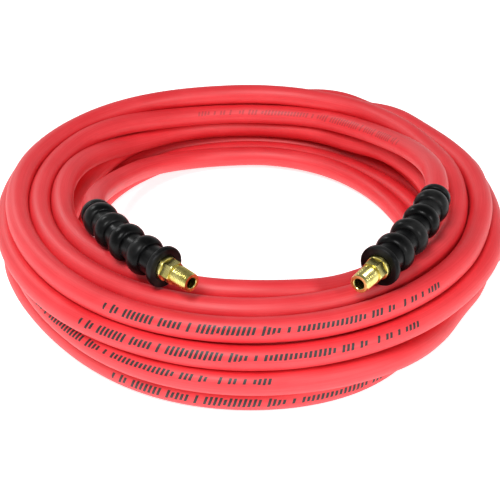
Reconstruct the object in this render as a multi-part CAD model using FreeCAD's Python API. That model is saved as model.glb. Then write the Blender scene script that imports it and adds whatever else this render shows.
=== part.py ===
import FreeCAD, Part
import math
import os

# Rubber air hose, 3/8 in bore, lying on the floor in a flat coil, with a brass male pipe-thread
# fitting, a crimped ferrule and a beaded rubber bend restrictor on each end.
# Millimetres, +Z up, the floor at Z = 0, the model's box centred on the origin.

# Hose: reinforced rubber in three bonded layers
HOSE_D = 17.0
BRAID_D = 13.8
LINER_D = 12.4
LINER_BORE_D = 9.9

# Coil: four rows of turns, each row an oval ring about the same upright axis
HOLE_Y = -13.0
ROW_H = 17.0
ROW_OVERLAP = 0.4
ROW_ROUNDING = 8.2
# for each row, bottom first: how far it reaches at the side, the front and the back
ROW_OUTSIDE = [(207.0, 201.0, 222.0), (205.0, 208.5, 234.0), (200.0, 204.5, 227.0), (191.0, 197.5, 183.0)]
ROW_INSIDE = [(135.0, 132.0, 136.0), (148.0, 147.0, 166.0), (149.0, 142.0, 160.0), (146.0, 137.0, 165.5)]

# Brass fitting, measured along its own axis from the restrictor's front face, +X towards the tip
FITTING_TIP = 25.0
FITTING_BORE_D = 7.5
STEM_END = -22.0
STEM_D = 9.9
STEM_VALLEY_D = 9.2
STEM_BARBS = 5
NECK_D = 11.0
COLLAR_D = 17.0
COLLAR_BACK = -1.4
COLLAR_FRONT = 2.6
HEX_ACROSS_FLATS = 14.3
HEX_FRONT = 10.0
THREAD_START = 11.4
THREAD_D = 13.4
THREAD_ROOT_D = 11.2
THREAD_PITCH = 25.4 / 18.0
THREAD_LAND = 0.45

# Ferrule, crimped over the hose end
FERRULE_D = 18.8
FERRULE_MOUTH_D = 11.2
FERRULE_LIP = 1.4
HOSE_CUT = -4.0
CRIMP_DEPTH = 0.35
CRIMP_WIDTH = 2.4
CRIMP_POSITIONS = (-18.0, -13.0, -8.0)

# Bend restrictor
RESTRICTOR_L = 104.0
CORE_D = 20.8
POCKET_D = 19.0
SLEEVE_BORE_D = 18.8
FRONT_OPENING_D = 17.6
FLANGE_D = 30.4
FLANGE_T = 4.5
COLLAR_ROUNDING = 1.4
BEAD_PITCH = 22.0
FIRST_BEAD = -22.5
BEAD_L = 17.0
BEAD_DIAMETERS = (28.0, 27.4, 26.6, 25.8)
TAIL_RING_D = 23.4
TAIL_RING_L = 6.0
MITRE_EXTRA = 4.0
MITRE_BLOCK = 300.0

# Small edges: chamfers, the sloping share of a barb, and the spare reach of cutting tools
COLLAR_BACK_CHAMFER = 0.4
COLLAR_FRONT_CHAMFER = 0.8
HEX_CHAMFER = 0.8
HEX_CORNER_SPARE = 0.2
HEX_OVERLAP = 0.2
FERRULE_CHAMFER = 1.0
BARB_SLOPE_SHARE = 0.8
CUT_SPARE = 3.0
ARC_SHARE = 0.45
SAME_POINT = 0.001
LEVEL_EDGE = 0.01

# The two free end stretches. FACE is the middle of the restrictor's front face. Each route starts at the bend
# inside the restrictor and ends inside the coil. The fitting's axis runs from that bend through the face.
ROUTE_START = -8.0
LEFT_FACE = FreeCAD.Vector(-55.2, -164.5, 83.4)
LEFT_ROUTE = [(-79.0, -140.7, 83.4), (-112.5, -86.0, 77.5), (-118.5, -40.0, 65.0),
              (-116.5, 2.0, 49.0), (-111.0, 38.0, 37.0), (-91.0, 87.0, 24.0), (-52.0, 124.0, 12.0)]
RIGHT_FACE = FreeCAD.Vector(84.7, -163.2, 83.4)
RIGHT_ROUTE = [(104.5, -136.0, 83.4), (135.5, -77.8, 85.7), (140.5, -36.0, 84.0),
               (137.0, 6.0, 75.0), (128.5, 46.0, 64.5), (111.0, 82.0, 56.5), (88.5, 118.0, 48.5),
               (55.0, 146.0, 44.0)]


def vector(point):
    return FreeCAD.Vector(*point)


def turned(profile):
    """A solid of revolution about X from a list of (x, radius) points, closed along the axis."""
    points = [FreeCAD.Vector(x, radius, 0) for x, radius in profile]
    points.append(points[0])
    face = Part.Face(Part.makePolygon(points))
    return face.revolve(FreeCAD.Vector(0, 0, 0), FreeCAD.Vector(1, 0, 0), 360)


def rod(diameter, start, end):
    """A round bar along X."""
    return Part.makeCylinder(diameter / 2, end - start, FreeCAD.Vector(start, 0, 0), FreeCAD.Vector(1, 0, 0))


def tube(outer_d, inner_d, start, end):
    return rod(outer_d, start, end).cut(rod(inner_d, start - CUT_SPARE, end + CUT_SPARE))


def placed(shape, origin, direction):
    """Move a shape made along X so that its axis starts at origin and points along direction."""
    turn = FreeCAD.Rotation(FreeCAD.Vector(1, 0, 0), direction)
    moved = shape.copy()
    moved.Placement = FreeCAD.Placement(origin, turn)
    return moved


# Coil ---------------------------------------------------------------------------------------------

def half_oval(side, depth, z):
    """Half of an ellipse about the coil's axis, from one side to the other through Y = depth."""
    centre = FreeCAD.Vector(0, HOLE_Y, z)
    across = FreeCAD.Vector(side, HOLE_Y, z)
    along = FreeCAD.Vector(0, HOLE_Y + depth, z)
    if abs(depth) < side:
        return Part.ArcOfEllipse(Part.Ellipse(across, along, centre), 0, math.pi).toShape()
    return Part.ArcOfEllipse(Part.Ellipse(along, across, centre), -math.pi / 2, math.pi / 2).toShape()


def oval_prism(side, front, back, z, height):
    halves = [half_oval(side, -front, z), half_oval(side, back, z)]
    outline = Part.Wire(Part.__sortEdges__(halves))
    return Part.Face(outline).extrude(FreeCAD.Vector(0, 0, height))


def coil_row(index):
    """One row of turns: an oval ring whose inner and outer edges are as round as the hose."""
    overlap = ROW_OVERLAP if index else 0.0
    z = index * ROW_H - overlap
    height = ROW_H + overlap
    ring = oval_prism(*ROW_OUTSIDE[index], z, height).cut(oval_prism(*ROW_INSIDE[index], z, height))
    rims = [edge for edge in ring.Edges if abs(edge.BoundBox.ZLength) < LEVEL_EDGE]
    return ring.makeFillet(ROW_ROUNDING, rims)


def hose_coil(end_hoses):
    coil = coil_row(0)
    for index in range(1, len(ROW_OUTSIDE)):
        coil = coil.fuse(coil_row(index))
    for hose in end_hoses:
        coil = coil.cut(hose)
    return coil.removeSplitter()


# Free end stretches ---------------------------------------------------------------------------------

def route_wire(points, name):
    """Straight runs joined by tangent arcs, each as large as its two runs allow."""
    edges = []
    radii = []
    start = points[0]
    for before, corner, after in zip(points, points[1:], points[2:]):
        run_in = corner - before
        run_out = after - corner
        reach = ARC_SHARE * min(run_in.Length, run_out.Length)
        half_turn = run_in.getAngle(run_out) / 2
        radii.append(reach / math.tan(half_turn))
        arc_start = corner - run_in.normalize() * reach
        arc_end = corner + run_out.normalize() * reach
        inward = (arc_start + arc_end) * 0.5 - corner
        inward.normalize()
        sagitta = radii[-1] * (1 / math.cos(half_turn) - 1)
        edges.append(Part.LineSegment(start, arc_start).toShape())
        edges.append(Part.Arc(arc_start, corner + inward * sagitta, arc_end).toShape())
        start = arc_end
    edges.append(Part.LineSegment(start, points[-1]).toShape())
    print(name, "arc radii", [round(radius) for radius in radii])
    return Part.Wire(edges)


def pipe(wire, diameter):
    """A round bar along the whole of a wire."""
    first = wire.Edges[0]
    start = first.valueAt(first.FirstParameter)
    circle = Part.Circle(start, first.tangentAt(first.FirstParameter), diameter / 2).toShape()
    return wire.makePipe(Part.Face(Part.Wire(circle)))


def end_hose(wire, face, direction, name):
    """The hose from the back of the ferrule to the coil."""
    bar = pipe(wire, HOSE_D)
    in_ferrule = placed(rod(HOSE_D + 2 * CUT_SPARE, STEM_END, 0), face, direction)
    hose = bar.cut(in_ferrule)
    length = wire.Length - (ROUTE_START - STEM_END)
    section = math.pi * HOSE_D ** 2 / 4
    print(name, "length", round(length, 1), "volume over section times length",
          round(hose.Volume / (section * length), 4))
    return hose


# Fitting, ferrule and the hose layers in them, along X from the restrictor's front face ----------------

def hexagon_bar(across_flats, start, end):
    corner = across_flats / 2 / math.cos(math.pi / 6)
    points = []
    for step in range(7):
        angle = math.radians(60 * step)
        points.append(FreeCAD.Vector(start, corner * math.cos(angle), corner * math.sin(angle)))
    bar = Part.Face(Part.makePolygon(points)).extrude(FreeCAD.Vector(end - start, 0, 0))
    outside = corner + HEX_CORNER_SPARE
    rounded = turned([(start, 0), (start, corner - HEX_CHAMFER), (start + HEX_CHAMFER, outside),
                      (end - HEX_CHAMFER, outside), (end, corner - HEX_CHAMFER), (end, 0)])
    return bar.common(rounded)


def stem_profile():
    """Barbed stem: each barb rises towards the collar and drops straight back to the valley."""
    barb_l = (HOSE_CUT - STEM_END) / STEM_BARBS
    profile = [(STEM_END, 0)]
    for barb in range(STEM_BARBS):
        start = STEM_END + barb * barb_l
        profile.append((start, STEM_VALLEY_D / 2))
        profile.append((start + barb_l * BARB_SLOPE_SHARE, STEM_D / 2))
        profile.append((start + barb_l, STEM_D / 2))
    return profile


def thread_profile():
    """Pipe thread as rings: flat crests, sixty degree flanks down to the root."""
    flank = (THREAD_D - THREAD_ROOT_D) / 2 * math.tan(math.radians(30))
    profile = [(HEX_FRONT, THREAD_ROOT_D / 2)]
    crest = THREAD_START
    while crest + THREAD_LAND < FITTING_TIP:
        profile.append((crest, THREAD_D / 2))
        profile.append((crest + THREAD_LAND, THREAD_D / 2))
        valley = crest + (THREAD_PITCH + THREAD_LAND) / 2
        depth = min(flank, (THREAD_PITCH - THREAD_LAND) / 2) / math.tan(math.radians(30))
        profile.append((valley, THREAD_D / 2 - depth))
        crest += THREAD_PITCH
    profile.pop()
    profile.append((FITTING_TIP, THREAD_ROOT_D / 2))
    profile.append((FITTING_TIP, 0))
    return profile


def male_fitting():
    profile = stem_profile()
    rim = COLLAR_D / 2
    profile += [(HOSE_CUT, NECK_D / 2), (COLLAR_BACK, NECK_D / 2), (COLLAR_BACK, rim - COLLAR_BACK_CHAMFER),
                (COLLAR_BACK + COLLAR_BACK_CHAMFER, rim), (COLLAR_FRONT - COLLAR_FRONT_CHAMFER, rim),
                (COLLAR_FRONT, rim - COLLAR_FRONT_CHAMFER), (COLLAR_FRONT, THREAD_ROOT_D / 2)]
    profile += thread_profile()
    body = turned(profile).fuse(hexagon_bar(HEX_ACROSS_FLATS, COLLAR_FRONT - HEX_OVERLAP, HEX_FRONT))
    return body.cut(rod(FITTING_BORE_D, STEM_END - CUT_SPARE, FITTING_TIP + CUT_SPARE)).removeSplitter()


def ferrule():
    front = COLLAR_BACK
    inside = front - FERRULE_LIP
    profile = [(STEM_END, HOSE_D / 2), (STEM_END, FERRULE_D / 2)]
    for position in CRIMP_POSITIONS:
        profile += [(position - CRIMP_WIDTH / 2 - CRIMP_DEPTH, FERRULE_D / 2),
                    (position - CRIMP_WIDTH / 2, FERRULE_D / 2 - CRIMP_DEPTH),
                    (position + CRIMP_WIDTH / 2, FERRULE_D / 2 - CRIMP_DEPTH),
                    (position + CRIMP_WIDTH / 2 + CRIMP_DEPTH, FERRULE_D / 2)]
    profile += [(front - FERRULE_CHAMFER, FERRULE_D / 2), (front, FERRULE_D / 2 - FERRULE_CHAMFER),
                (front, FERRULE_MOUTH_D / 2), (inside, FERRULE_MOUTH_D / 2), (inside, HOSE_D / 2)]
    return turned(profile)


# Bend restrictor --------------------------------------------------------------------------------------

def sleeve_section(start, end, beads, collar_start, collar_end, collar_d):
    """A solid sleeve about X: a core with barrel-shaped beads and one straight collar with rounded rims."""
    core = CORE_D / 2
    rim = collar_d / 2
    bend = COLLAR_ROUNDING * (1 - math.sqrt(0.5))
    points = [FreeCAD.Vector(start, 0, 0), FreeCAD.Vector(start, core, 0)]
    edges = [Part.LineSegment(points[0], points[1]).toShape()]

    def line_to(x, radius):
        points.append(FreeCAD.Vector(x, radius, 0))
        if (points[-1] - points[-2]).Length > SAME_POINT:
            edges.append(Part.LineSegment(points[-2], points[-1]).toShape())

    def arc_to(middle_x, middle_radius, x, radius):
        middle = FreeCAD.Vector(middle_x, middle_radius, 0)
        points.append(FreeCAD.Vector(x, radius, 0))
        edges.append(Part.Arc(points[-2], middle, points[-1]).toShape())

    def collar():
        line_to(collar_start, core)
        line_to(collar_start, rim - COLLAR_ROUNDING)
        arc_to(collar_start + bend, rim - bend, collar_start + COLLAR_ROUNDING, rim)
        line_to(collar_end - COLLAR_ROUNDING, rim)
        arc_to(collar_end - bend, rim - bend, collar_end, rim - COLLAR_ROUNDING)
        if collar_end < end:
            line_to(collar_end, core)

    if collar_start < beads[0][0]:
        collar()
    for centre, diameter in beads:
        line_to(centre - BEAD_L / 2, core)
        arc_to(centre, diameter / 2, centre + BEAD_L / 2, core)
    if collar_start > beads[0][0]:
        collar()
    else:
        line_to(end, core)
    line_to(end, 0)
    edges.append(Part.LineSegment(points[-1], points[0]).toShape())
    face = Part.Face(Part.Wire(edges))
    return face.revolve(FreeCAD.Vector(0, 0, 0), FreeCAD.Vector(1, 0, 0), 360)


def half_space(origin, direction):
    """A block that fills everything near origin on the side that direction points to."""
    corner = FreeCAD.Vector(0, -MITRE_BLOCK / 2, -MITRE_BLOCK / 2)
    return placed(Part.makeBox(MITRE_BLOCK, MITRE_BLOCK, MITRE_BLOCK, corner), origin, direction)


def bend_restrictor(points, face, front_direction):
    """Two hollow sleeves mitred where the hose turns: flange and front bead, then three beads and a ring."""
    corner = points[1]
    front_l = (face - corner).Length
    rear_l = RESTRICTOR_L - front_l
    rear_direction = (corner - points[2]).normalize()
    mitre = front_direction + rear_direction

    front_end = -front_l - MITRE_EXTRA
    front = sleeve_section(front_end, 0, [(FIRST_BEAD, BEAD_DIAMETERS[0])], -FLANGE_T, 0, FLANGE_D)
    front = front.cut(rod(SLEEVE_BORE_D, front_end - CUT_SPARE, STEM_END + CUT_SPARE))
    front = front.cut(rod(POCKET_D, STEM_END, COLLAR_BACK))
    front = front.cut(rod(FRONT_OPENING_D, COLLAR_BACK - CUT_SPARE, CUT_SPARE))

    rear_beads = []
    for index in (3, 2, 1):
        rear_beads.append((FIRST_BEAD - index * BEAD_PITCH + front_l, BEAD_DIAMETERS[index]))
    rear = sleeve_section(-rear_l, MITRE_EXTRA, rear_beads, -rear_l, -rear_l + TAIL_RING_L, TAIL_RING_D)
    rear = rear.cut(rod(SLEEVE_BORE_D, -rear_l - CUT_SPARE, MITRE_EXTRA + CUT_SPARE))

    front = placed(front, face, front_direction).common(half_space(corner, mitre))
    rear = placed(rear, corner, rear_direction).common(half_space(corner, mitre * -1))
    return front.fuse(rear).removeSplitter()


# Assembly ---------------------------------------------------------------------------------------------

def end_parts(side, face, route):
    points = [vector(point) for point in route]
    direction = (face - points[0]).normalize()
    points.insert(0, face + direction * ROUTE_START)
    print(side, "direction", [round(value, 5) for value in direction])
    wire = route_wire(points, side)
    straight_parts = {
        "male_fitting": male_fitting(),
        "ferrule": ferrule(),
        "hose_end_cover": tube(HOSE_D, BRAID_D, STEM_END, HOSE_CUT),
        "hose_end_braid": tube(BRAID_D, LINER_D, STEM_END, HOSE_CUT),
        "hose_end_liner": tube(LINER_D, LINER_BORE_D, STEM_END, HOSE_CUT),
    }
    parts = {side + "_" + name: placed(shape, face, direction) for name, shape in straight_parts.items()}
    parts[side + "_end_hose"] = end_hose(wire, face, direction, side)
    parts[side + "_bend_restrictor"] = bend_restrictor(points, face, direction)
    return parts


nodes = end_parts("left", LEFT_FACE, LEFT_ROUTE)
nodes.update(end_parts("right", RIGHT_FACE, RIGHT_ROUTE))
nodes["hose_coil"] = hose_coil([nodes["left_end_hose"], nodes["right_end_hose"]])

os.makedirs("parts", exist_ok=True)
for name, shape in nodes.items():
    shape.exportStep("parts/" + name + ".step")
    print(name, "solids", len(shape.Solids), "valid", shape.isValid(), "volume", round(shape.Volume))
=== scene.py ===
import math

import bmesh
import bpy
import numpy as np
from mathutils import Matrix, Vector


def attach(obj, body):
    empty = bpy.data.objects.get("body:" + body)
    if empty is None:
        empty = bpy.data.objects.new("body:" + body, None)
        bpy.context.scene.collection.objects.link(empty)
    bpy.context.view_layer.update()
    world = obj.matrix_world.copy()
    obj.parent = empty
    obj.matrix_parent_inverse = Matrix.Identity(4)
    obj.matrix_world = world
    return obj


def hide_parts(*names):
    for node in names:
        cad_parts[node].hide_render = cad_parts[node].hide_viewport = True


# A coiled rubber air hose with a brass male fitting and a beaded bend restrictor on each end.
# Metres, +Z up. Where a comment says millimetres, the functions multiply by MM.

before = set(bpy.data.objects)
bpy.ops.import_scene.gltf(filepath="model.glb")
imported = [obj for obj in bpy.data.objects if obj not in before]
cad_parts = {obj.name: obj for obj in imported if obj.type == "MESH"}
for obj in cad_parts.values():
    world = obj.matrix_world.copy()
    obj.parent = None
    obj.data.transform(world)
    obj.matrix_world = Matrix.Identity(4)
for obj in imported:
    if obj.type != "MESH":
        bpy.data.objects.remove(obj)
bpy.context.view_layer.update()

# The hose's outside diameter, and the middle of the coil's hole
MM = 0.001
HOSE_D = 17.0 * MM
HOLE_Y = -13.0 * MM

# Along a fitting's axis from its restrictor's front face: where the hose's route starts, and the
# ferrule's back, where the visible hose starts
ROUTE_START = -8.0 * MM
FERRULE_BACK = -22.0 * MM

# Fitting, millimetres along its own axis from the restrictor's front face. Each tuple starts with
# where the feature starts, and where it ends if it has an end of its own.
# STEM goes on with the number of barbs, the radius between them and theirs, NECK and COLLAR with a
# radius, and HEX with the width across flats.
STEM = (-22.0, 5, 4.6, 4.95)
STEM_WALL = 0.3
BARB_SLOPE_SHARE = 0.8
NECK = (-4.0, 5.5)
COLLAR = (-1.4, 2.6, 8.5)
COLLAR_BACK_BEVEL = 0.4
COLLAR_FRONT_BEVEL = 0.8
COLLAR_FRONT_ROUND = 0.25
HEX = (2.6, 10.0, 14.3)
HEX_RINGS = (0.0, 0.05, 0.5, 0.88, 0.92, 0.96, 1.0)
HEX_FACE_SPARE = 0.15
HEX_BEVEL_SLOPE = 1.73
FITTING_TIP = 25.0
TIP_BEVEL = 0.3
BORE_R = 3.75
BORE_BEVEL = 0.4
BORE_RINGS = (15, 5, -5, -15)
FITTING_COLUMNS = 96

# Thread, in millimetres. A tooth's height across one pitch falls from TOOTH_TOP in its middle by
# TOOTH_SLOPE a pitch, and is cut off at 1, so that it has a flat crest. The thread fades in over one
# pitch and out over THREAD_RUNOUT of one.
THREAD = (11.0, 23.4)
THREAD_R = 6.9
THREAD_DEPTH = 0.45
THREAD_PITCH = 25.4 / 18
THREAD_TAPER = 1 / 32
THREAD_STEP = 0.12
THREAD_RUNOUT = 0.8
TOOTH_TOP = 1.25
TOOTH_SLOPE = 2.7

# Bend restrictor, millimetres back from its front face: FLANGE is (thickness, radius), each bead
# (middle, radius), TAIL_RING (start, end, radius) and TAIL_LIP (start, radius). Its core is thicker
# up to CORE_END, round the pocket for the ferrule. FRONT_OPENING_R, POCKET_R and SLEEVE_R are inside.
CORE_R = 10.4
CORE_END = 24.0
WAIST_R = 9.5
FLANGE = (4.5, 14.5)
BEADS = [(22.0, 14.0), (44.0, 13.7), (66.0, 13.3), (88.0, 12.9)]
BEAD_L = 12.5
BEAD_STEPS = 18
TAIL_RING = (97.0, 102.5, 11.5)
RIM_R = 1.4
RIM_STEPS = 6
FRONT_OPENING_R = 8.8
FRONT_BEVEL = 0.4
FRONT_LIP = 1.4
POCKET_R = 9.5
POCKET_END = 22.0
SLEEVE_R = 8.75
SLEEVE_STEP = 4.0
TAIL_LIP = (101.0, 8.62)
RESTRICTOR_COLUMNS = 56

# How many rings of the hose's line a restrictor follows, and how far either side of a point its
# direction there is taken
END_RINGS = 120
DIRECTION_REACH = 4 * MM

# The two end stretches: the middle of the restrictor's front face, then the route from the bend
# inside the restrictor to the coil
LEFT_FACE = Vector((-0.0552, -0.1645, 0.0834))
LEFT_ROUTE = [(-0.0790, -0.1407, 0.0834), (-0.1125, -0.0860, 0.0775), (-0.1185, -0.0400, 0.0650),
              (-0.1165, 0.0020, 0.0490), (-0.1110, 0.0380, 0.0370), (-0.0910, 0.0870, 0.0240),
              (-0.0520, 0.1240, 0.0120)]
RIGHT_FACE = Vector((0.0847, -0.1632, 0.0834))
RIGHT_ROUTE = [(0.1045, -0.1360, 0.0834), (0.1355, -0.0778, 0.0857), (0.1405, -0.0360, 0.0840),
               (0.1370, 0.0060, 0.0750), (0.1285, 0.0460, 0.0645), (0.1110, 0.0820, 0.0565),
               (0.0885, 0.1180, 0.0485), (0.0550, 0.1460, 0.0440)]

# How the hose is wound: (radius, height) of its centreline in millimetres at the left, back, right
# and front of each turn, laid out for a hose LAYOUT_D across. ROW is the height of each row's middle.
# A third number is how far the hose bulges, or with a minus is drawn in, midway to the next place.
LAYOUT_D = 16.5
ROW = [LAYOUT_D * (row + 0.5) for row in range(4)]
TURNS = [
    (None, (139, 12), (131, ROW[0]), (136, ROW[0])),
    ((136, ROW[0], 8), (157.5, ROW[0]), (146, ROW[0]), (153, ROW[0])),
    ((152, ROW[0]), (174, ROW[0]), (163, ROW[0]), (170, ROW[0])),
    ((168, ROW[0]), (190.5, ROW[0]), (180, ROW[0]), (189, ROW[0])),
    ((177, 14), (207, 10), (177, 18), (194, ROW[1])),
    ((173, ROW[1] + 3), (218, 20, -6), (183, 28), (178, ROW[1])),
    ((161, ROW[1]), (203, ROW[1]), (172, ROW[1]), (161, ROW[1])),
    ((144, ROW[1]), (187, ROW[1]), (153, 30), (141, ROW[3])),
    ((143, ROW[3]), (170, ROW[1]), (148, 38), (153, ROW[2])),
    ((158, ROW[2]), (181, ROW[2]), (164, ROW[2]), (172, ROW[2])),
    ((171, ROW[2]), (198, ROW[2]), (182, ROW[2]), (190, ROW[2])),
    ((175, 46), (208, 38, -18), (173, ROW[3] - 2), (183, ROW[3])),
    ((174, ROW[3]), (169, ROW[3]), (157, ROW[3]), (162, ROW[3])),
    ((159, ROW[3]), (164, ROW[2]), None, None),
]
# The lower a turn lies, the more it is drawn in at the two front corners, mostly towards the sides.
LEFT_DRAW = 6
RIGHT_DRAW = 18
POINTS_PER_QUARTER = 8

# Pushing the turns apart: how often, by what share of an overlap, to how many diameters, and how
# many of a point's neighbours along the hose are left out
SETTLE_STEPS = 250
SETTLE_RATE = 0.25
SETTLE_GAP = 1.005
SETTLE_NEIGHBOURS = 6

# How finely the hose's mesh follows its line, and how many sides it has
SPLINE_RESOLUTION = 7
HOSE_SIDES = 22

# Rows of plain ink strokes: the turn's number, the direction of the row's left end in degrees from
# +X, the share of the way round the hose of the row's middle, and 1 if the row is a faint one
PRINT_ROWS = [
    (12, -120, 0.835, 0),
    (11, -125, 0.85, 0),
    (5, -156, 0.87, 0),
    (4, -118, 0.785, 0),
    (14, 24, 0.15, 1),
]
PRINT_LENGTH = 0.235
PRINT_MARGIN = 0.02
# A faint row's places along the hose are moved on by this many metres, which marks it as faint.
FAINT_SHIFT = 10.0
FAINT_INK = 0.35
# Strokes are taller in the first part of a row. A height is half of a stroke's, as a share of the way
# round the hose, and the shortest stroke has this share of it.
PRINT_TALL_LENGTH = 0.112
PRINT_TALL = 0.062
PRINT_LOW = 0.046
SHORTEST_STROKE = 0.65
# There is a stroke every PRINT_PITCH, inked over PRINT_STROKE of it, and the share LEFT_OUT of them is
# missing. HEIGHT_DRAW is the offset that gives the heights a draw of their own.
PRINT_PITCH = 0.0031
PRINT_STROKE = 0.6
PRINT_SLANT = 0.016
LEFT_OUT = 0.16
HEIGHT_DRAW = 500.0
INK_COLOUR = (0.004, 0.001, 0.001)

FLOOR_REACH = 12.0
FLOOR_GLOW = 0.72


# Hose line ------------------------------------------------------------------------------------------

def coil_points():
    """Centreline points of the turns, clockwise from above, easing from each quarter to the next."""
    stations = [station for turn in TURNS for station in turn][1:-2]
    points = []
    for index, (here, after) in enumerate(zip(stations, stations[1:])):
        for step in range(POINTS_PER_QUARTER):
            part = step / POINTS_PER_QUARTER
            ease = part * part * (3 - 2 * part)
            radius, height = (a + (b - a) * ease for a, b in zip(here[:2], after[:2]))
            if len(here) > 2:
                radius += here[2] * math.sin(math.pi * part) ** 2
            angle = math.radians(90 - 90 * (index + part))
            if math.sin(angle) < 0:
                low = max(0, 1 - (height - ROW[0]) / (ROW[2] - ROW[0]))
                draw = LEFT_DRAW if math.cos(angle) < 0 else RIGHT_DRAW
                radius -= 2 * draw * low * (math.sin(2 * angle) * math.cos(angle)) ** 2
            points.append((radius * math.cos(angle), radius * math.sin(angle), height))
    radius, height = stations[-1][:2]
    points.append((0, radius, height))
    scaled = np.array(points) * (HOSE_D / LAYOUT_D)
    return scaled + (0, HOLE_Y, 0)


def settle(points, fixed):
    """Pushes turns that lie in each other apart to one diameter, and keeps them on the floor."""
    count = len(points)
    index = np.arange(count)
    for _ in range(SETTLE_STEPS):
        between = np.empty((2 * count - 1, 3))
        between[::2] = points
        between[1::2] = (points[1:] + points[:-1]) / 2
        apart = points[:, None, :] - between[None, :, :]
        distance = np.sqrt((apart ** 2).sum(2))
        along = np.abs(2 * index[:, None] - np.arange(2 * count - 1)[None, :])
        distance[along < 2 * SETTLE_NEIGHBOURS] = 1.0
        push = np.clip(HOSE_D * SETTLE_GAP - distance, 0, None)
        move = (apart / distance[..., None] * push[..., None]).sum(1) * SETTLE_RATE
        move[fixed] = 0
        points = points + move
        points[~fixed, 2] = np.maximum(points[~fixed, 2], HOSE_D / 2)
    return points


def fitting_axis(face, route):
    return (face - Vector(route[0])).normalized()


def hose_controls():
    """The whole hose's control points, from inside the left ferrule to inside the right one."""
    left_axis = fitting_axis(LEFT_FACE, LEFT_ROUTE)
    right_axis = fitting_axis(RIGHT_FACE, RIGHT_ROUTE)
    left = [tuple(LEFT_FACE + left_axis * ROUTE_START)] + LEFT_ROUTE
    right = RIGHT_ROUTE[::-1] + [tuple(RIGHT_FACE + right_axis * ROUTE_START)]
    coil = coil_points()
    points = np.array(left + [tuple(point) for point in coil] + right)
    fixed = np.ones(len(points), bool)
    fixed[len(left):len(left) + len(coil)] = False
    points[~fixed] = settle(points, fixed)[~fixed]
    return points


def spline_line(points):
    """Points along one smooth NURBS spline through the hose's control points."""
    curve = bpy.data.curves.new("hose_line", "CURVE")
    curve.dimensions = "3D"
    curve.resolution_u = SPLINE_RESOLUTION
    spline = curve.splines.new("NURBS")
    spline.points.add(len(points) - 1)
    for target, point in zip(spline.points, points):
        target.co = (*point, 1)
    spline.order_u = 3
    spline.use_endpoint_u = True
    holder = bpy.data.objects.new("hose_line", curve)
    bpy.context.scene.collection.objects.link(holder)
    mesh = bpy.data.meshes.new_from_object(holder)
    line = np.array([vertex.co[:] for vertex in mesh.vertices])
    bpy.data.objects.remove(holder)
    bpy.data.meshes.remove(mesh)
    return line


def lengths_along(line):
    return np.concatenate([[0], np.cumsum(np.linalg.norm(np.diff(line, axis=0), axis=1))])


# Hose mesh ------------------------------------------------------------------------------------------

def print_starts(line, along):
    """Each row of strokes as (metres along the hose to its left end, its place round it, 1 if faint)."""
    around = np.degrees(np.unwrap(np.arctan2(line[:, 1] - HOLE_Y, line[:, 0])))
    starts = []
    for turn, direction, place, faint in PRINT_ROWS:
        # the hose sets off clockwise from the left front, and turn 0 ends at its first pass of the front
        target = direction - 360 * turn
        starts.append((float(np.interp(-target, -around, along)), place, faint))
    return starts


def print_uv(along, around, starts):
    """Metres from the left end of the row of strokes here, moved on by FAINT_SHIFT in a faint row, and
    the place round the hose from the row's middle. Clear of a row the second is -1, which draws nothing,
    before the first one jumps."""
    for start, place, faint in starts:
        distance = start - along
        if -2 * PRINT_MARGIN < distance < PRINT_LENGTH + 2 * PRINT_MARGIN:
            near = -PRINT_MARGIN < distance < PRINT_LENGTH + PRINT_MARGIN
            return distance + FAINT_SHIFT * faint, around - place if near else -1.0
    return -1.0, -1.0


def tube_mesh(name, line, diameter, sides):
    """A round tube with flat ends. Its UVs are metres along it and the share of the way round it."""
    tangents = np.gradient(line, axis=0)
    tangents /= np.linalg.norm(tangents, axis=1)[:, None]
    up = np.array([0, 0, 1.0]) - tangents * tangents[:, 2:3]
    up /= np.linalg.norm(up, axis=1)[:, None]
    side = np.cross(tangents, up)
    angles = np.arange(sides) * 2 * math.pi / sides
    rings = (line[:, None, :] + (up[:, None, :] * np.cos(angles)[None, :, None]
             + side[:, None, :] * np.sin(angles)[None, :, None]) * diameter / 2)
    along = lengths_along(line)
    faces = []
    uvs = []
    for ring in range(len(line) - 1):
        for k in range(sides):
            a = ring * sides + k
            b = ring * sides + (k + 1) % sides
            faces.append((a, a + sides, b + sides, b))
            v0, v1 = k / sides, (k + 1) / sides
            uvs += [(along[ring], v0), (along[ring + 1], v0), (along[ring + 1], v1), (along[ring], v1)]
    last = (len(line) - 1) * sides
    faces.append(tuple(range(sides)))
    uvs += [(0, 0)] * sides
    faces.append(tuple(last + k for k in reversed(range(sides))))
    uvs += [(along[-1], 0)] * sides
    mesh = bpy.data.meshes.new(name)
    mesh.from_pydata([tuple(point) for point in rings.reshape(-1, 3)], [], faces)
    layer = mesh.uv_layers.new(name="UVMap")
    layer.data.foreach_set("uv", np.array(uvs, np.float32).ravel())
    starts = print_starts(line, along)
    printed = [print_uv(u, v, starts) for u, v in uvs]
    layer = mesh.uv_layers.new(name="Print")
    layer.data.foreach_set("uv", np.array(printed, np.float32).ravel())
    mesh.polygons.foreach_set("use_smooth", [True] * (len(faces) - 2) + [False] * 2)
    mesh.update()
    piece = bpy.data.objects.new(name, mesh)
    bpy.context.scene.collection.objects.link(piece)
    return piece


# Restrictors and fittings ---------------------------------------------------------------------------

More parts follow.
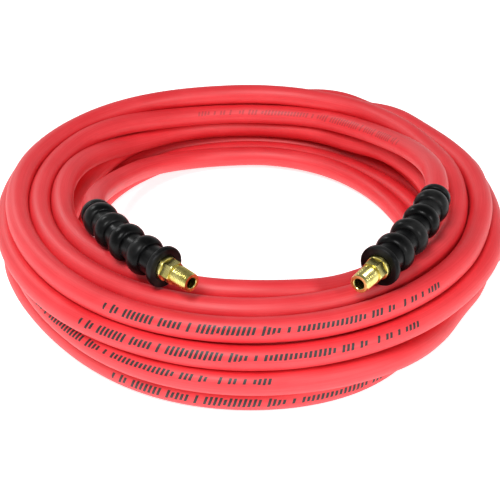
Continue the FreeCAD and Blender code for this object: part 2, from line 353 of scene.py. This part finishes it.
def grid_mesh(name, grid, sharp_degrees):
    """A closed surface of rings that are joined in order, the last one to the first. Its UVs are the
    ring's number and the share of the way round it."""
    rings, columns = grid.shape[:2]
    faces = []
    uvs = []
    for i in range(rings):
        for k in range(columns):
            here, after = i * columns, (i + 1) % rings * columns
            beside = (k + 1) % columns
            faces.append((here + k, here + beside, after + beside, after + k))
            v0, v1 = k / columns, (k + 1) / columns
            uvs += [(i, v0), (i, v1), (i + 1, v1), (i + 1, v0)]
    mesh = bpy.data.meshes.new(name)
    mesh.from_pydata([tuple(point) for point in grid.reshape(-1, 3)], [], faces)
    layer = mesh.uv_layers.new(name="UVMap")
    layer.data.foreach_set("uv", np.array(uvs, np.float32).ravel())
    mesh.update()
    work = bmesh.new()
    work.from_mesh(mesh)
    bmesh.ops.recalc_face_normals(work, faces=work.faces)
    work.to_mesh(mesh)
    work.free()
    mesh.polygons.foreach_set("use_smooth", [True] * len(faces))
    mesh.set_sharp_from_angle(angle=math.radians(sharp_degrees))
    piece = bpy.data.objects.new(name, mesh)
    bpy.context.scene.collection.objects.link(piece)
    return piece


def rounded_rim(start, end, radius):
    """A rim from its back to its front, with both edges rounded, as (distance, radius)."""
    points = []
    for middle, turn in ((end - RIM_R, 0), (start + RIM_R, 90)):
        for angle in np.radians(np.linspace(turn, turn + 90, RIM_STEPS)):
            points.append((middle + RIM_R * math.cos(angle), radius - RIM_R + RIM_R * math.sin(angle)))
    return points


def core_radius(distance):
    return CORE_R if distance < CORE_END else WAIST_R


def bead_profile(middle, top):
    """A bead from its tail side to its front side: a round crown that stands on the core."""
    points = []
    for step in range(BEAD_STEPS + 1):
        across = math.cos(math.pi * step / BEAD_STEPS)
        distance = middle + across * BEAD_L / 2
        core = core_radius(distance)
        points.append((distance, core + (top - core) * math.sqrt(max(0.0, 1 - across ** 2))))
    return points


def restrictor_profile():
    """(distance back from the front face, radius): outside from tail to front, then inside to the tail."""
    ring_start, ring_end, ring_r = TAIL_RING
    flange_t, flange_r = FLANGE
    lip_start, lip_r = TAIL_LIP
    points = [(ring_end, lip_r)]
    points += rounded_rim(ring_start, ring_end, ring_r)
    points.append((ring_start, WAIST_R))
    for middle, top in reversed(BEADS):
        points += bead_profile(middle, top)
    points.append((flange_t, CORE_R))
    points += rounded_rim(0, flange_t, flange_r)
    points += [(0, FRONT_OPENING_R + FRONT_BEVEL), (FRONT_BEVEL, FRONT_OPENING_R)]
    points += [(FRONT_LIP, FRONT_OPENING_R), (FRONT_LIP, POCKET_R)]
    points += [(POCKET_END, POCKET_R), (POCKET_END, SLEEVE_R)]
    for distance in np.arange(POCKET_END + SLEEVE_STEP, lip_start, SLEEVE_STEP):
        points.append((distance, SLEEVE_R))
    points.append((lip_start, lip_r))
    return points


def end_line(face, line):
    """The hose's line from the restrictor's front face backwards, and the distances along it."""
    points = np.vstack([np.array(face), line[:END_RINGS]])
    return points, lengths_along(points)


def restrictor(side, face, line, made):
    """The sleeve, which follows the hose's line."""
    points, distances = end_line(face, line)

    def place(distance):
        return np.array([np.interp(distance, distances, points[:, k]) for k in range(3)])

    angles = np.arange(RESTRICTOR_COLUMNS) * 2 * math.pi / RESTRICTOR_COLUMNS
    rings = []
    for distance, radius in restrictor_profile():
        here = distance * MM
        tangent = place(here + DIRECTION_REACH) - place(max(0, here - DIRECTION_REACH))
        tangent /= np.linalg.norm(tangent)
        up = np.array([0, 0, 1.0]) - tangent * tangent[2]
        up /= np.linalg.norm(up)
        across = np.cross(tangent, up)
        ring = np.outer(np.cos(angles), up) + np.outer(np.sin(angles), across)
        rings.append(place(here) + radius * MM * ring)
    piece = grid_mesh(side + "_restrictor_sleeve", np.array(rings), sharp_degrees=40)
    piece.data.materials.append(made)
    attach(piece, "root")
    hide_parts(side + "_bend_restrictor")
    return piece


def hexagon_radius(angle, across_flats):
    step = math.pi / 3
    return across_flats / 2 / math.cos((angle + step / 2) % step - step / 2)


def fitting_rings():
    """(position, radius by angle) for the outside, from the stem's end to the tip, then down the bore."""
    rings = []

    def plain(position, radius):
        rings.append((position, lambda angle, r=radius: r))

    stem_start, barbs, valley_r, barb_r = STEM
    barb_l = (NECK[0] - stem_start) / barbs
    plain(stem_start, BORE_R + STEM_WALL)
    for barb in range(barbs):
        start = stem_start + barb * barb_l
        plain(start, valley_r)
        plain(start + barb_l * BARB_SLOPE_SHARE, barb_r)
        plain(start + barb_l, barb_r)
    neck_start, neck_r = NECK
    plain(neck_start, neck_r)
    back, front, collar_r = COLLAR
    plain(back, neck_r)
    plain(back, collar_r - COLLAR_BACK_BEVEL)
    plain(back + COLLAR_BACK_BEVEL, collar_r)
    plain(front - COLLAR_FRONT_BEVEL, collar_r)
    plain(front - COLLAR_FRONT_ROUND, collar_r - COLLAR_FRONT_ROUND)
    plain(front, collar_r - COLLAR_FRONT_BEVEL)
    hex_back, hex_front, flats = HEX
    for share in HEX_RINGS:
        position = hex_back + (hex_front - hex_back) * share
        limit = flats / 2 + HEX_FACE_SPARE + (hex_front - position) * HEX_BEVEL_SLOPE
        rings.append((position, lambda angle, top=limit: min(hexagon_radius(angle, flats), top)))
    plain(hex_front, THREAD_R - THREAD_DEPTH)
    start, end = THREAD
    for position in np.arange(start, end, THREAD_STEP):
        rings.append((position, lambda angle, at=position: thread_radius(at, angle)))
    plain(end, THREAD_R - THREAD_DEPTH)
    plain(FITTING_TIP, THREAD_R - THREAD_DEPTH - TIP_BEVEL)
    plain(FITTING_TIP, BORE_R + BORE_BEVEL)
    plain(FITTING_TIP - BORE_BEVEL, BORE_R)
    for position in BORE_RINGS:
        plain(position, BORE_R)
    return rings


def thread_radius(position, angle):
    """Right-handed tapered pipe thread with flat crests, fading in and out at its ends."""
    start, end = THREAD
    phase = (position / THREAD_PITCH + angle / (2 * math.pi)) % 1
    tooth = min(1.0, max(0.0, TOOTH_TOP - abs(phase - 0.5) * TOOTH_SLOPE))
    fade = min(1.0, (position - start) / THREAD_PITCH, (end - position) / (THREAD_RUNOUT * THREAD_PITCH))
    crest = THREAD_R - (position - start) * THREAD_TAPER
    return crest - THREAD_DEPTH + THREAD_DEPTH * tooth * max(0.0, fade)


def fitting(side, face, route, made):
    """The male fitting in one piece, from its barbed stem to the tip of its thread."""
    axis = np.array(fitting_axis(face, route))
    up = np.array([0, 0, 1.0])
    across = np.cross(axis, up)
    angles = np.arange(FITTING_COLUMNS) * 2 * math.pi / FITTING_COLUMNS
    grid = []
    for position, radius_at in fitting_rings():
        radii = np.array([radius_at(angle) for angle in angles]) * MM
        middle = np.array(face) + axis * position * MM
        ring = np.outer(np.cos(angles) * radii, up) + np.outer(np.sin(angles) * radii, across)
        grid.append(middle + ring)
    piece = grid_mesh(side + "_threaded_fitting", np.array(grid), sharp_degrees=28)
    piece.data.materials.append(made)
    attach(piece, "root")
    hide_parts(side + "_male_fitting")
    return piece


# Materials ------------------------------------------------------------------------------------------

def material(name, colour, roughness):
    made = bpy.data.materials.new(name)
    made.use_nodes = True
    shader = made.node_tree.nodes["Principled BSDF"]
    shader.inputs["Base Color"].default_value = (*colour, 1)
    shader.inputs["Roughness"].default_value = roughness
    return made, made.node_tree, shader


def noise(tree, vector, scale, detail=4.0):
    node = tree.nodes.new("ShaderNodeTexNoise")
    node.inputs["Scale"].default_value = scale
    node.inputs["Detail"].default_value = detail
    node.inputs["Roughness"].default_value = 0.55
    tree.links.new(vector, node.inputs["Vector"])
    return node.outputs["Fac"]


def ramp(tree, value, stops):
    node = tree.nodes.new("ShaderNodeValToRGB")
    elements = node.color_ramp.elements
    while len(elements) < len(stops):
        elements.new(0.5)
    for element, (position, colour) in zip(elements, stops):
        element.position = position
        element.color = (*colour, 1)
    tree.links.new(value, node.inputs["Fac"])
    return node.outputs["Color"]


def bump(tree, shader, height, strength, distance):
    node = tree.nodes.new("ShaderNodeBump")
    node.inputs["Strength"].default_value = strength
    node.inputs["Distance"].default_value = distance
    tree.links.new(height, node.inputs["Height"])
    tree.links.new(node.outputs["Normal"], shader.inputs["Normal"])


def calculate(tree, operation, first, second=None):
    """A Math node. Its inputs are sockets or numbers."""
    node = tree.nodes.new("ShaderNodeMath")
    node.operation = operation
    for value, target in zip((first, second), node.inputs):
        if value is None:
            continue
        if isinstance(value, bpy.types.NodeSocket):
            tree.links.new(value, target)
        else:
            target.default_value = value
    return node.outputs[0]


def random_of(tree, number):
    """A number from 0 to 1 that is the same wherever the given whole number is."""
    node = tree.nodes.new("ShaderNodeTexWhiteNoise")
    node.noise_dimensions = "1D"
    tree.links.new(number, node.inputs["W"])
    return node.outputs["Value"]


def ink(tree):
    """Short slanted strokes of uneven height, some left out: 1 inside one, or FAINT_INK in a faint row."""
    uv = tree.nodes.new("ShaderNodeUVMap")
    uv.uv_map = "Print"
    split = tree.nodes.new("ShaderNodeSeparateXYZ")
    tree.links.new(uv.outputs["UV"], split.inputs[0])
    around = split.outputs[1]
    faint = calculate(tree, "GREATER_THAN", split.outputs[0], FAINT_SHIFT / 2)
    along = calculate(tree, "SUBTRACT", split.outputs[0], calculate(tree, "MULTIPLY", faint, FAINT_SHIFT))
    strength = calculate(tree, "SUBTRACT", 1.0, calculate(tree, "MULTIPLY", faint, 1 - FAINT_INK))
    slanted = calculate(tree, "ADD", along, calculate(tree, "MULTIPLY", around, -PRINT_SLANT))
    strokes = calculate(tree, "DIVIDE", slanted, PRINT_PITCH)
    number = calculate(tree, "FLOOR", strokes)
    kept = calculate(tree, "GREATER_THAN", random_of(tree, number), LEFT_OUT)
    stroke = calculate(tree, "LESS_THAN", calculate(tree, "FRACT", strokes), PRINT_STROKE)
    is_tall = calculate(tree, "LESS_THAN", along, PRINT_TALL_LENGTH)
    extra = calculate(tree, "MULTIPLY", is_tall, PRINT_TALL - PRINT_LOW)
    height = calculate(tree, "ADD", PRINT_LOW, extra)
    drawn = random_of(tree, calculate(tree, "ADD", number, HEIGHT_DRAW))
    taller = calculate(tree, "MULTIPLY", drawn, 1 - SHORTEST_STROKE)
    height = calculate(tree, "MULTIPLY", height, calculate(tree, "ADD", SHORTEST_STROKE, taller))
    in_row = calculate(tree, "LESS_THAN", calculate(tree, "ABSOLUTE", around), height)
    started = calculate(tree, "GREATER_THAN", along, 0.0)
    not_over = calculate(tree, "LESS_THAN", along, PRINT_LENGTH)
    result = calculate(tree, "MULTIPLY", kept, stroke)
    for factor in (in_row, started, not_over, strength):
        result = calculate(tree, "MULTIPLY", result, factor)
    return result


def mixed(tree, factor, first, second):
    """A colour mix. first and second are sockets or colours."""
    node = tree.nodes.new("ShaderNodeMix")
    node.data_type = "RGBA"
    tree.links.new(factor, node.inputs[0])
    for value, target in ((first, node.inputs[6]), (second, node.inputs[7])):
        if isinstance(value, bpy.types.NodeSocket):
            tree.links.new(value, target)
        else:
            target.default_value = (*value, 1)
    return node.outputs[2]


def hose_rubber():
    """Matt red extruded rubber: a cloudy bloom, fine lengthwise streaks and plain ink strokes."""
    made, tree, shader = material("hose_rubber", (0.76, 0.011, 0.022), 0.5)
    where = tree.nodes.new("ShaderNodeTexCoord")
    stretch = tree.nodes.new("ShaderNodeMapping")
    stretch.inputs["Scale"].default_value = (9, 30, 1)
    tree.links.new(where.outputs["UV"], stretch.inputs["Vector"])
    cloud = noise(tree, where.outputs["Object"], scale=26)
    grain = noise(tree, where.outputs["Object"], scale=900, detail=2)
    streaks = noise(tree, stretch.outputs["Vector"], scale=1.8, detail=3)
    tone = calculate(tree, "MULTIPLY", calculate(tree, "ADD", cloud, streaks), 0.5)
    bloom = ramp(tree, tone, [(0.34, (0.70, 0.014, 0.022)), (0.5, (0.76, 0.022, 0.032)),
                              (0.66, (0.81, 0.040, 0.050))])
    printed = mixed(tree, ink(tree), bloom, INK_COLOUR)
    tree.links.new(printed, shader.inputs["Base Color"])
    height = calculate(tree, "ADD", streaks, calculate(tree, "MULTIPLY", grain, 0.25))
    bump(tree, shader, height, strength=0.16, distance=0.0004)
    rough = calculate(tree, "ADD", 0.42, calculate(tree, "MULTIPLY", cloud, 0.2))
    tree.links.new(rough, shader.inputs["Roughness"])
    shader.inputs["Specular IOR Level"].default_value = 0.75
    return made


def black_rubber(name):
    """Satin moulded rubber with a faint mould texture and dusty patches."""
    made, tree, shader = material(name, (0.006, 0.006, 0.007), 0.3)
    where = tree.nodes.new("ShaderNodeTexCoord")
    patches = noise(tree, where.outputs["Object"], scale=55)
    grain = noise(tree, where.outputs["Object"], scale=1300, detail=2)
    colour = ramp(tree, patches, [(0.45, (0.0018, 0.0018, 0.002)), (0.68, (0.016, 0.016, 0.016))])
    tree.links.new(colour, shader.inputs["Base Color"])
    rough = calculate(tree, "ADD", 0.18, calculate(tree, "MULTIPLY", patches, 0.28))
    tree.links.new(rough, shader.inputs["Roughness"])
    shader.inputs["IOR"].default_value = 1.25
    shader.inputs["Specular IOR Level"].default_value = 0.4
    bump(tree, shader, grain, strength=0.08, distance=0.0002)
    return made


def brass(name, roughness):
    """Turned brass: bright yellow with a fine grain and a little darkening in patches."""
    made, tree, shader = material(name, (0.80, 0.68, 0.24), roughness)
    shader.inputs["Metallic"].default_value = 1
    where = tree.nodes.new("ShaderNodeTexCoord")
    patches = noise(tree, where.outputs["Object"], scale=160)
    colour = ramp(tree, patches, [(0.32, (0.56, 0.47, 0.12)), (0.6, (0.78, 0.69, 0.26))])
    tree.links.new(colour, shader.inputs["Base Color"])
    grain = noise(tree, where.outputs["Object"], scale=1500, detail=2)
    rough = calculate(tree, "ADD", roughness - 0.05, calculate(tree, "MULTIPLY", patches, 0.12))
    tree.links.new(rough, shader.inputs["Roughness"])
    bump(tree, shader, grain, strength=0.06, distance=0.0001)
    return made


def cloth_braid():
    """Pale yarn in bands that waver a little."""
    made, tree, shader = material("hose_braid", (0.80, 0.76, 0.66), 0.85)
    where = tree.nodes.new("ShaderNodeTexCoord")
    wave = tree.nodes.new("ShaderNodeTexWave")
    wave.inputs["Scale"].default_value = 500
    wave.inputs["Distortion"].default_value = 1.5
    tree.links.new(where.outputs["Object"], wave.inputs["Vector"])
    colour = ramp(tree, wave.outputs["Fac"], [(0.2, (0.62, 0.58, 0.48)), (0.8, (0.86, 0.83, 0.75))])
    tree.links.new(colour, shader.inputs["Base Color"])
    bump(tree, shader, wave.outputs["Fac"], strength=0.4, distance=0.0003)
    return made


def repaint(node, made):
    """Gives a kept CAD piece its material."""
    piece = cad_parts[node]
    piece.data.materials.clear()
    piece.data.materials.append(made)


# Camera, light and floor ----------------------------------------------------------------------------

def camera():
    data = bpy.data.cameras.new("camera")
    data.sensor_width = 36
    data.lens = 80.7
    view = bpy.data.objects.new("camera", data)
    view.location = (0, -0.7797, 0.4894)
    view.rotation_euler = (math.radians(57.5), 0, 0)
    bpy.context.scene.collection.objects.link(view)
    bpy.context.scene.camera = view


def soft_light(name, location, size, power):
    """A square lamp that faces the middle of the coil."""
    data = bpy.data.lights.new(name, "AREA")
    data.size = size
    data.energy = power
    lamp = bpy.data.objects.new(name, data)
    lamp.location = location
    lamp.rotation_euler = (-Vector(location)).to_track_quat("-Z", "Y").to_euler()
    bpy.context.scene.collection.objects.link(lamp)


def surround():
    """A pale world, brighter at the horizon than overhead."""
    world = bpy.data.worlds.new("studio")
    world.use_nodes = True
    tree = world.node_tree
    direction = tree.nodes.new("ShaderNodeTexCoord")
    split = tree.nodes.new("ShaderNodeSeparateXYZ")
    tree.links.new(direction.outputs["Generated"], split.inputs[0])
    sky = ramp(tree, split.outputs[2], [(0.0, (0.9, 0.9, 0.9)), (0.3, (0.55, 0.55, 0.55)),
                                        (0.65, (0.24, 0.24, 0.24))])
    tree.links.new(sky, tree.nodes["Background"].inputs["Color"])
    bpy.context.scene.world = world


def white_floor():
    """A wide pale floor that glows, so that it comes out white."""
    made, tree, shader = material("floor_white", (0.95, 0.95, 0.95), 0.8)
    where = tree.nodes.new("ShaderNodeTexCoord")
    cloud = noise(tree, where.outputs["Object"], scale=6)
    tone = ramp(tree, cloud, [(0.3, (0.93, 0.93, 0.93)), (0.7, (0.97, 0.97, 0.97))])
    tree.links.new(tone, shader.inputs["Base Color"])
    shader.inputs["Emission Color"].default_value = (1, 1, 1, 1)
    shader.inputs["Emission Strength"].default_value = FLOOR_GLOW
    floor = bpy.data.meshes.new("floor")
    corners = [(x * FLOOR_REACH, y * FLOOR_REACH, 0) for x, y in ((-1, -1), (1, -1), (1, 1), (-1, 1))]
    floor.from_pydata(corners, [], [(0, 1, 2, 3)])
    floor.materials.append(made)
    plane = bpy.data.objects.new("floor", floor)
    bpy.context.scene.collection.objects.link(plane)


# Assembly -------------------------------------------------------------------------------------------

bpy.context.scene.view_settings.view_transform = "Standard"
camera()
surround()
soft_light("key", location=(-0.35, -0.85, 1.3), size=0.5, power=14)
soft_light("fill", location=(1.0, -1.2, 0.9), size=0.3, power=8)
soft_light("rim", location=(-1.0, 0.9, 1.0), size=0.3, power=5)
white_floor()

hose_red = hose_rubber()
restrictor_black = black_rubber("restrictor_rubber")
liner_black = black_rubber("liner_rubber")
fitting_yellow = brass("fitting_brass", roughness=0.24)
ferrule_yellow = brass("ferrule_brass", roughness=0.3)
braid_yarn = cloth_braid()

# the hose's line starts and ends inside the fittings, and is hidden as far as the ferrules' backs
whole_line = spline_line(hose_controls())
whole_lengths = lengths_along(whole_line)
hidden = ROUTE_START - FERRULE_BACK
visible = (whole_lengths >= hidden) & (whole_lengths <= whole_lengths[-1] - hidden)
hose_line = whole_line[visible]
hose = tube_mesh("hose", hose_line, HOSE_D, HOSE_SIDES)
hose.data.materials.append(hose_red)
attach(hose, "root")
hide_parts("hose_coil", "left_end_hose", "right_end_hose")
hose_length = lengths_along(hose_line)[-1]
print("hose length", round(hose_length, 3), "rings", len(hose_line))

for side, face, route, line in (("left", LEFT_FACE, LEFT_ROUTE, whole_line),
                                ("right", RIGHT_FACE, RIGHT_ROUTE, whole_line[::-1])):
    restrictor(side, face, line, restrictor_black)
    fitting(side, face, route, fitting_yellow)
    repaint(side + "_ferrule", ferrule_yellow)
    repaint(side + "_hose_end_cover", hose_red)
    repaint(side + "_hose_end_braid", braid_yarn)
    repaint(side + "_hose_end_liner", liner_black)
